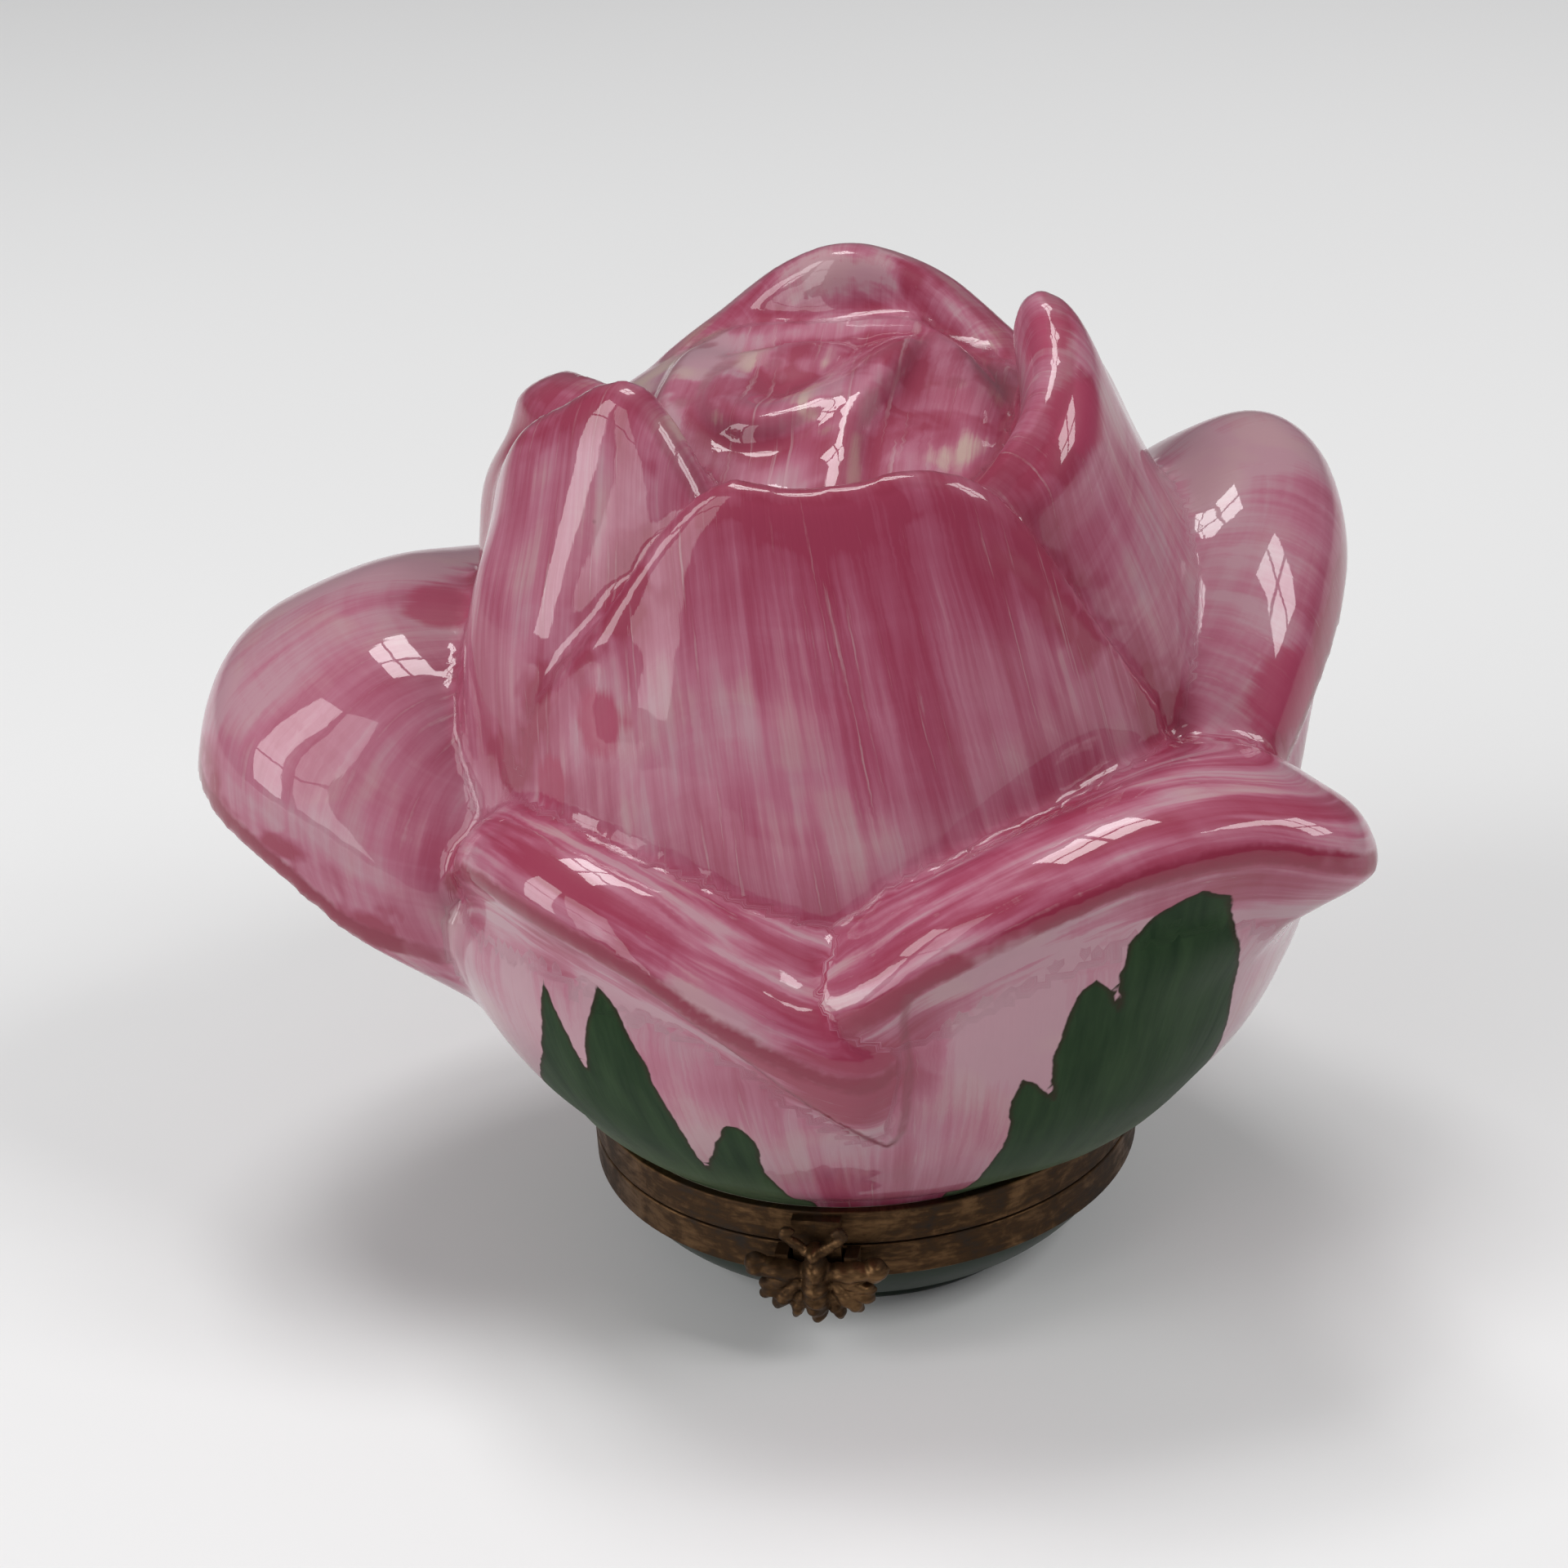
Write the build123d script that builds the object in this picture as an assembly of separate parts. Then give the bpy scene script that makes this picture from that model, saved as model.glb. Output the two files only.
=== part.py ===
from build123d import *
import math
import os

# Rose-shaped hinged porcelain box with brass mounts, modelled in millimetres.
#
# Frame: +Z up, origin at the centre of the foot on the table, -Y to the front (the clasp), +Y to the hinge.
# A slip-cast rose bloom is the lid and a shallow cup is the base. Each is set in its own brass band with
# cement, and the two bands are joined by a five-knuckle hinge behind and a snap clasp in front.

# ---- driving dimensions --------------------------------------------------------------------------
rim_radius = 15.5          # outside of both brass bands
band_height = 2.0          # each band, outside
band_sheet = 0.5           # thickness of the brass sheet
band_opening = 12.5        # inner radius of the flange that covers the porcelain's cut edge
band_rounding = 0.12
parting_z = 7.0            # the plane where the two bands meet
parting_gap = 0.10         # daylight between the closed bands
cement_gap = 0.2           # cement between porcelain and band, radially
cement_bed = 0.15          # cement between porcelain and flange, axially

foot_radius = 10.6         # the flat underside
foot_bevel = 0.3
base_floor = 2.2           # inside floor of the base cup
cup_inner = 12.7           # inside radius of both porcelain mouths

outer_petal = 3.0          # thickness of the petals that roll outward
inner_petal = 2.6          # thickness of the standing petals
bud_petal = 1.8            # thickness of the petals of the bud
widest_petal = 150         # degrees of the bloom that one petal may wrap

knuckle_radius = 1.15
knuckle_length = 1.7
knuckle_gap = 0.08
knuckle_bore = 0.55
pin_radius = 0.50
pin_head_radius = 0.80
pin_head_length = 0.35
knuckle_count = 5
leaf_width = 9.6
hinge_clearance = 0.25     # daylight between the bands and the barrels
strip_clearance = 0.12     # daylight between a leaf's strip and the other leaf's barrels
hinge_back = 14.0          # where the blanks of the leaves start, inside the band they are trimmed to

tongue_width = 2.6
tongue_thick = 0.35
tongue_drop = 2.5          # how far the tongue hangs below the parting plane
clasp_clearance = 0.22     # daylight round the tongue
bead_radius = 0.2
pad_above = 0.3            # the tongue's pad starts this far above the lid band's lower edge
pad_below = 0.2            # and ends this far below its upper edge
keeper_cheek = 0.7
keeper_drop = 3.2          # how far the keeper hangs below the parting plane
keeper_sill = 0.4
ornament_back = 16.5       # distance of the ornament's back from the axis
clasp_z = 5.6              # height of the middle of the cast figure

# ---- values that follow from them ----------------------------------------------------------------
lid_band_bottom = parting_z + parting_gap / 2
lid_band_top = lid_band_bottom + band_height
base_band_top = parting_z - parting_gap / 2
base_band_bottom = base_band_top - band_height
band_inner = rim_radius - band_sheet
seat_radius = band_inner - cement_gap
lid_edge_z = lid_band_bottom + band_sheet + cement_bed
base_edge_z = base_band_top - band_sheet - cement_bed
hinge_y = rim_radius + knuckle_radius + hinge_clearance
hinge_pitch = knuckle_length + knuckle_gap
hinge_span = knuckle_count * knuckle_length + (knuckle_count - 1) * knuckle_gap
cutter_height = 4 * parting_z  # reaches past both bands


def turned(points):
    """A solid of revolution about Z from a closed outline of (radius, height) points."""
    outline = Polyline(*points, close=True)
    return revolve(Plane.XZ * make_face(outline), Axis.Z)


def write(shape, node):
    """One STEP file for one node."""
    shape.label = node
    export_step(shape, os.path.join("parts", node + ".step"))


# ---- the rose bloom ------------------------------------------------------------------------------
def offset_line(points, distance):
    """Points moved to the left of the line's direction by a distance."""
    moved = []
    for i, (r, z) in enumerate(points):
        r0, z0 = points[max(i - 1, 0)]
        r1, z1 = points[min(i + 1, len(points) - 1)]
        length = math.hypot(r1 - r0, z1 - z0)
        moved.append((r - (z1 - z0) / length * distance, z + (r1 - r0) / length * distance))
    return moved


def petal_band(span, middle_line, thickness):
    """A thick strip of petal facing the front: its (radius, height) middle line swept through a span."""
    outside = offset_line(middle_line, -thickness / 2)
    inside = offset_line(middle_line, thickness / 2)
    tip = tuple(0.5 * (a + b) for a, b in zip(outside[-1], inside[-1]))
    before = middle_line[-2]
    reach = math.hypot(tip[0] - before[0], tip[1] - before[1])
    crown = tuple(t + (t - b) / reach * thickness / 2 for t, b in zip(tip, before))
    edges = [
        Spline(*outside),
        ThreePointArc(outside[-1], crown, inside[-1]),
        Spline(*reversed(inside)),
        Line(inside[0], outside[0]),
    ]
    strip = revolve(Plane.XZ * make_face(edges), Axis.Z, revolution_arc=span)
    return Rot(0, 0, -90 - span / 2) * strip


def upright_petal(azimuth, half_width, middle_line, thickness, shoulder):
    """A standing petal with a round top, cut to its outline as seen along the radius."""
    top = max(z for _, z in middle_line) + thickness
    low = min(z for _, z in middle_line) - thickness
    far = max(r for r, _ in middle_line) + 2 * thickness
    outline = [
        Line((-half_width, low), (half_width, low)),
        Line((half_width, low), (half_width, shoulder)),
        ThreePointArc((half_width, shoulder), (0, top), (-half_width, shoulder)),
        Line((-half_width, shoulder), (-half_width, low)),
    ]
    cutter = extrude(Plane.XZ * make_face(outline), far)
    span = 2 * math.degrees(math.asin(min(0.98, half_width / min(r for r, _ in middle_line)))) + 4
    return Rot(0, 0, azimuth) * (petal_band(min(span, widest_petal), middle_line, thickness) & cutter)


def spread_petal(azimuth, half_width, middle_line, thickness, root):
    """A petal that rolls outward, cut to an ellipse as seen from above."""
    reach = max(r for r, _ in middle_line) + thickness
    low = min(z for _, z in middle_line) - thickness
    tall = max(z for _, z in middle_line) + thickness - low
    plan = Pos(0, -(reach + root) / 2, low) * Ellipse(half_width, (reach - root) / 2)
    span = min(widest_petal, 2 * math.degrees(math.atan2(half_width, root)) + 10)
    return Rot(0, 0, azimuth) * (petal_band(span, middle_line, thickness) & extrude(plan, tall))


# The core that all petals grow from: a flared cup below, a bud above.
core_skin = [
    (seat_radius, lid_edge_z),
    (seat_radius, lid_band_top + 0.15),
    (16.6, 10.6),
    (19.6, 13.2),
    (22.2, 17.0),
    (23.4, 21.5),
    (22.6, 26.5),
    (20.4, 30.5),
    (18.6, 36.0),
    (15.6, 42.0),
    (10.5, 46.2),
    (5.0, 48.6),
    (0.0, 49.2),
]
# The hollow left by slip casting, about 3 mm inside the skin.
cavity_skin = [
    (cup_inner, lid_edge_z - 1),
    (cup_inner, lid_edge_z + 1.6),
    (15.2, 12.6),
    (18.3, 16.6),
    (19.9, 21.5),
    (19.0, 27.5),
    (16.6, 34.0),
    (12.6, 40.0),
    (6.5, 43.6),
    (0.0, 44.6),
]


def round_skin(points, straight):
    """A solid of revolution: straight for its first points, then one smooth curve up to the axis."""
    curve = Spline(*points[straight:])
    walls = Polyline(*points[: straight + 1])
    base = Line((0, points[0][1]), points[0])
    axis_side = Line(points[-1], (0, points[0][1]))
    return revolve(Plane.XZ * make_face([base, walls, curve, axis_side]), Axis.Z)


# The petals: azimuth, half width, where the outline narrows (a radius on the outer whorl, a height on the
# others), then the (radius, height) middle line.
outer_whorl = [
    (-85, 15.5, 14, [(20, 24), (23.5, 32), (28, 36), (32.5, 34.5), (34.4, 29.5)]),
    (-22, 14.5, 11, [(19, 19), (20.3, 25), (22.2, 28.8), (24.2, 28.0)]),
    (54, 14.5, 12, [(19.5, 19), (21.5, 27), (24.8, 31.4), (28.4, 32.2), (31.0, 30.4)]),
    (112, 15.5, 12, [(20, 22), (22.5, 31), (25.4, 37.4), (28.4, 37.0)]),
    (165, 15.5, 12, [(20, 22), (22.5, 30), (26.2, 34.5), (29.4, 31.8)]),
    (-138, 15.5, 12, [(20, 22), (22.4, 30.0), (26.6, 34.0), (30.6, 31.8)]),
]
inner_whorl = [
    (10, 15.0, 36, [(19.4, 20), (18.8, 31), (17.0, 40), (14.6, 46.6)]),
    (-62, 12.5, 40, [(19.2, 24), (18.8, 34), (16.8, 42), (14.0, 49.0)]),
    (-120, 12.0, 39, [(19.0, 24), (18.2, 34), (16.0, 42), (13.4, 47.4)]),
    (86, 12.5, 40, [(19.2, 24), (18.6, 34), (16.4, 43), (12.6, 51.6)]),
    (172, 10.5, 43, [(17.0, 26), (16.2, 38), (13.0, 46), (9.2, 52.2)]),
]
bud = [
    (-35, 6.6, 47, [(9.6, 38), (9.2, 46), (7.6, 50.6)]),
    (95, 6.0, 48, [(8.2, 38), (7.6, 46), (5.8, 51.4)]),
    (215, 5.0, 48, [(6.6, 38), (6.2, 46), (4.4, 51.2)]),
]


def rose_bloom():
    """The lid's porcelain: the core with all its petals, hollow inside."""
    bloom = round_skin(core_skin, 1)
    for azimuth, half_width, root, middle_line in outer_whorl:
        bloom = bloom + spread_petal(azimuth, half_width, middle_line, outer_petal, root)
    for azimuth, half_width, shoulder, middle_line in inner_whorl:
        bloom = bloom + upright_petal(azimuth, half_width, middle_line, inner_petal, shoulder)
    for azimuth, half_width, shoulder, middle_line in bud:
        bloom = bloom + upright_petal(azimuth, half_width, middle_line, bud_petal, shoulder)
    return bloom - round_skin(cavity_skin, 1)


# ---- brass bands, cement and the base cup --------------------------------------------------------
def band(edge_z, into):
    """One brass band, a wall with an inward flange at the parting side; into is +1 upward, -1 downward."""
    flange = edge_z + into * band_sheet
    far = edge_z + into * band_height
    ring = turned(
        [
            (band_opening, edge_z),
            (rim_radius, edge_z),
            (rim_radius, far),
            (band_inner, far),
            (band_inner, flange),
            (band_opening, flange),
        ]
    )
    outside_edges = ring.edges().filter_by(GeomType.CIRCLE).filter_by(lambda e: e.radius > rim_radius - 0.01)
    return fillet(outside_edges, band_rounding)


def cement(edge_z, into):
    """The cement between one band and its porcelain: a bed on the flange and a thin collar round the seat."""
    flange = edge_z + into * band_sheet
    bed = flange + into * cement_bed
    far = edge_z + into * band_height
    return turned(
        [
            (cup_inner, flange),
            (band_inner, flange),
            (band_inner, far),
            (seat_radius, far),
            (seat_radius, bed),
            (cup_inner, bed),
        ]
    )


def base_cup():
    """The shallow porcelain cup that the box stands on, flat underneath."""
    skin = Spline((seat_radius, base_band_bottom - 0.1), (13.9, 3.2), (12.3, 1.7), (foot_radius + 0.2, 0.7))
    wall = Spline((9.4, base_floor), (11.7, 3.1), (cup_inner, base_band_bottom + 0.3), tangents=((1, 0), (0, 1)))
    sides = Polyline(
        wall @ 1,
        (cup_inner, base_edge_z),
        (seat_radius, base_edge_z),
        skin @ 0,
    )
    under = Polyline(skin @ 1, (foot_radius, foot_bevel), (foot_radius - foot_bevel, 0), (0, 0), (0, base_floor))
    floor = Line((0, base_floor), wall @ 0)
    return revolve(Plane.XZ * make_face([wall, sides, skin, under, floor]), Axis.Z)


# ---- hinge ---------------------------------------------------------------------------------------
def knuckle_x(place):
    """The middle of the knuckle at a place, counted from the left end of the hinge."""
    return (place - (knuckle_count - 1) / 2) * hinge_pitch


def along_hinge(radius, length, x):
    """A round bar on the hinge axis."""
    return Pos(x, hinge_y, parting_z) * Rot(0, 90, 0) * Cylinder(radius, length)


def knuckle(place):
    """One drilled barrel of the hinge."""
    x = knuckle_x(place)
    return along_hinge(knuckle_radius, knuckle_length, x) - along_hinge(knuckle_bore, 2 * knuckle_length, x)


def hinge_leaf(edge_z, into, places):
    """A comb soldered to a band: a strip clear of the barrels and one finger to each barrel it carries."""
    far = edge_z + into * band_height
    near = parting_z + into * (knuckle_radius + strip_clearance)
    depth = hinge_y - hinge_back
    strip = Pos(0, hinge_back + depth / 2, (near + far) / 2) * Box(leaf_width, depth, abs(far - near))
    comb = strip
    for place in places:
        middle = Pos(knuckle_x(place), hinge_back + depth / 2, (edge_z + far) / 2)
        comb = comb + middle * Box(knuckle_length, depth, band_height)
    comb = comb - Cylinder(rim_radius, cutter_height)
    return comb - along_hinge(knuckle_radius, 2 * hinge_span, 0)


def pin():
    """The hinge pin with a flat head at each end."""
    rod = along_hinge(pin_radius, hinge_span + 2 * pin_head_length, 0)
    for side in (-1, 1):
        rod = rod + along_hinge(pin_head_radius, pin_head_length, side * (hinge_span + pin_head_length) / 2)
    return rod


# ---- snap clasp ----------------------------------------------------------------------------------
def tongue():
    """The lid's spring tongue: a pad on the band, a strip hanging in front of the base, a bead at its end."""
    front = -rim_radius - clasp_clearance - tongue_thick
    back = -rim_radius - clasp_clearance
    low = parting_z - tongue_drop
    pad_low = lid_band_bottom + pad_above
    pad_high = lid_band_top - pad_below
    section = Polyline(
        (-rim_radius + band_sheet, pad_low),
        (-rim_radius + band_sheet, pad_high),
        (front, pad_high),
        (front, low),
        (back, low),
        (back, pad_low),
        close=True,
    )
    strip = extrude(Plane.YZ * make_face(section), tongue_width / 2, both=True)
    bead = Pos(0, front + bead_radius * 0.4, low + bead_radius) * Rot(0, 90, 0) * Cylinder(bead_radius, tongue_width)
    return strip + bead - Cylinder(rim_radius, cutter_height)


def keeper():
    """The bracket on the base that guides the tongue: two cheeks and a sill below its end."""
    depth = ornament_back - hinge_back
    half = tongue_width / 2 + clasp_clearance
    low = parting_z - keeper_drop
    tall = base_band_top - low
    middle = Pos(0, depth / 2 - ornament_back, low + tall / 2)
    block = middle * Box(2 * (half + keeper_cheek), depth, tall)
    slot = middle * Pos(0, 0, keeper_sill) * Box(2 * half, 2 * depth, tall)
    return block - slot - Cylinder(rim_radius, cutter_height)


def lobe(x, z, wide, tall, thick, lean):
    """A cushion-shaped casting lobe, flat behind."""
    dome = Sphere(1, arc_size1=0, align=(Align.CENTER, Align.CENTER, Align.MIN))
    cushion = Rot(90, 0, 0) * scale(dome, by=(wide, tall, thick))
    return Pos(x, -ornament_back, z) * Rot(0, lean, 0) * cushion


def ornament():
    """The cast figure in front of the clasp: a body, two wings, a three-lobed skirt and two feelers above."""
    figure = lobe(0, clasp_z, 0.8, 2.4, 1.5, 0)
    for side in (-1, 1):
        figure = figure + lobe(side * 2.0, clasp_z + 0.7, 1.9, 0.95, 1.1, side * -14)
        figure = figure + lobe(side * 1.45, clasp_z - 1.0, 0.85, 1.3, 1.0, side * -40)
        figure = figure + lobe(side * 1.15, clasp_z + 1.9, 0.42, 1.2, 0.7, side * 14)
    return figure + lobe(0, clasp_z - 1.5, 0.85, 1.0, 1.2, 0)


# ---- the nodes -----------------------------------------------------------------------------------
os.makedirs("parts", exist_ok=True)

write(rose_bloom(), "lid_porcelain")
write(cement(lid_band_bottom, 1), "lid_setting_cement")
write(band(lid_band_bottom, 1), "lid_bezel")
write(hinge_leaf(lid_band_bottom, 1, (1, 3)), "lid_hinge_leaf")
write(knuckle(1), "lid_knuckle_left")
write(knuckle(3), "lid_knuckle_right")
write(tongue(), "clasp_tongue")

write(base_cup(), "base_porcelain")
write(cement(base_band_top, -1), "base_setting_cement")
write(band(base_band_top, -1), "base_bezel")
write(hinge_leaf(base_band_top, -1, (0, 2, 4)), "base_hinge_leaf")
write(knuckle(0), "base_knuckle_left")
write(knuckle(2), "base_knuckle_centre")
write(knuckle(4), "base_knuckle_right")
write(pin(), "hinge_pin")
write(keeper(), "clasp_keeper")
write(ornament(), "clasp_ornament")
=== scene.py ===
"""A hinged porcelain jar in the form of an open rose, in metres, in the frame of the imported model.

The rose lid and the cast clasp are sculpted here as meshes; the base cup, the brass bands and the hinge
keep their modelled shapes and get procedural materials. Heights and radii in the tables below are in
millimetres, azimuths in degrees: 0 is the front, 90 the right.
"""

import math

import bmesh
import bpy
import numpy as np
from mathutils import Matrix, Vector, kdtree


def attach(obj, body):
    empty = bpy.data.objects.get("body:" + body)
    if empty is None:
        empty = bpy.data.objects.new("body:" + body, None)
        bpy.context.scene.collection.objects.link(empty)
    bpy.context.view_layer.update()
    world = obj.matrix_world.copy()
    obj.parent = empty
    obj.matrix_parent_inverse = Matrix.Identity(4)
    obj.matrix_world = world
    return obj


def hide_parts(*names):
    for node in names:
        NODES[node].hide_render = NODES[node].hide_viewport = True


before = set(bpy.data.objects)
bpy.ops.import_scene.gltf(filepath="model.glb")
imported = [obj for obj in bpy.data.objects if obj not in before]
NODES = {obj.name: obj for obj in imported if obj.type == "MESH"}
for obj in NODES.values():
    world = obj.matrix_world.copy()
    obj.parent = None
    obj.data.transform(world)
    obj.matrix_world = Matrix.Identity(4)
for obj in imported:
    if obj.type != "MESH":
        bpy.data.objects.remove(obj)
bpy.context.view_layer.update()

MM = 0.001
ARC = 0.38  # mm per degree of azimuth at the body's mean radius


# ---- curves and swept solids ---------------------------------------------------------------------
def curve(keys, count):
    """A Catmull-Rom curve through rows of numbers, with count samples to a span."""
    k = np.asarray(keys, float)
    p = np.vstack([2 * k[0] - k[1], k, 2 * k[-1] - k[-2]])
    t = np.arange(count)[:, None] / count
    spans = []
    for a, b, c, d in zip(p, p[1:], p[2:], p[3:]):
        cubic = 3 * b - a - 3 * c + d
        square = 2 * a - 5 * b + 4 * c - d
        spans.append(0.5 * (2 * b + (c - a) * t + square * t**2 + cubic * t**3))
    return np.vstack(spans + [k[-1:]])


def around(azimuth, section):
    """Points (radius, height) of one section, placed at an azimuth."""
    a = math.radians(azimuth)
    return np.stack([section[:, 0] * math.sin(a), -section[:, 0] * math.cos(a), section[:, 1]], -1)


def mesh_object(name, verts, faces):
    """A mesh object from points in millimetres."""
    mesh = bpy.data.meshes.new(name)
    mesh.from_pydata([tuple(v) for v in np.asarray(verts) * MM], [], faces)
    mesh.validate()
    obj = bpy.data.objects.new(name, mesh)
    bpy.context.collection.objects.link(obj)
    return obj


def lofted(name, rings, closed=False):
    """A closed solid through rings of points: with flat ends, or closed into a loop."""
    m, n = rings.shape[:2]
    faces = []
    for i in range(m if closed else m - 1):
        a, b = i * n, (i + 1) % m * n
        faces += [(a + j, a + (j + 1) % n, b + (j + 1) % n, b + j) for j in range(n)]
    if not closed:
        faces.append(tuple(range(n))[::-1])
        faces.append(tuple((m - 1) * n + j for j in range(n)))
    return mesh_object(name, rings.reshape(-1, 3), faces)


def swept(name, sections, closed=False):
    """A closed solid through a list of (azimuth, section)."""
    return lofted(name, np.array([around(az, sec) for az, sec in sections]), closed)


def turned(name, outline, steps=96):
    """A closed solid of revolution from an outline that starts and ends on the axis."""
    ring = np.asarray(outline[1:-1], float)
    n = len(ring)
    verts = [around(360 * i / steps, ring) for i in range(steps)]
    verts = np.vstack(verts + [[(0, 0, outline[0][1]), (0, 0, outline[-1][1])]])
    low, high = n * steps, n * steps + 1
    faces = []
    for i in range(steps):
        a, b = i * n, (i + 1) % steps * n
        faces += [(a + j, b + j, b + j + 1, a + j + 1) for j in range(n - 1)]
        faces.append((low, b, a))
        faces.append((high, a + n - 1, b + n - 1))
    return mesh_object(name, verts, faces)


# ---- the rose: where each petal runs -------------------------------------------------------------
# The flared body's outer face, eight points (radius, height) from the brass band up, at a few azimuths.
BODY = {
    -180: [(14.9, 9.3), (17.6, 10.8), (19.5, 13.0), (21.3, 15.3),
           (22.8, 18.0), (23.8, 21.1), (23.8, 25.0), (20.5, 28.5)],
    -110: [(14.9, 9.3), (17.5, 10.8), (19.2, 12.9), (21.0, 15.2),
           (22.6, 18.0), (24.0, 21.4), (24.4, 25.4), (21.0, 29.0)],
    -60: [(14.9, 9.3), (16.9, 10.9), (17.8, 12.6), (19.4, 14.6),
          (20.9, 17.0), (22.4, 20.1), (23.0, 23.6), (20.5, 27.0)],
    -30: [(14.9, 9.3), (17.0, 10.9), (18.2, 12.6), (19.9, 14.7),
          (21.6, 17.6), (22.9, 21.0), (23.5, 25.6), (22.0, 29.0)],
    0: [(14.9, 9.3), (17.0, 10.9), (18.2, 12.6), (19.6, 14.7),
        (20.9, 17.0), (22.0, 20.0), (22.4, 23.0), (20.5, 26.0)],
    18: [(14.9, 9.3), (17.0, 10.9), (18.2, 12.6), (19.7, 14.7),
         (21.0, 17.0), (22.2, 20.0), (23.0, 24.0), (21.5, 27.0)],
    36: [(14.9, 9.3), (17.4, 10.7), (19.6, 13.0), (21.7, 15.8),
         (23.4, 19.2), (24.6, 23.2), (25.4, 28.0), (23.5, 31.0)],
    60: [(14.9, 9.3), (18.2, 10.7), (20.8, 13.7), (22.9, 16.6),
         (24.4, 19.4), (25.8, 23.0), (28.0, 27.0), (26.5, 30.5)],
    85: [(14.9, 9.3), (18.2, 10.7), (20.9, 13.4), (22.9, 16.0),
         (24.2, 18.8), (25.2, 21.9), (25.4, 25.8), (21.5, 29.5)],
    180: [(14.9, 9.3), (17.6, 10.8), (19.5, 13.0), (21.3, 15.3),
          (22.8, 18.0), (23.8, 21.1), (23.8, 25.0), (20.5, 28.5)],
}

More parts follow.
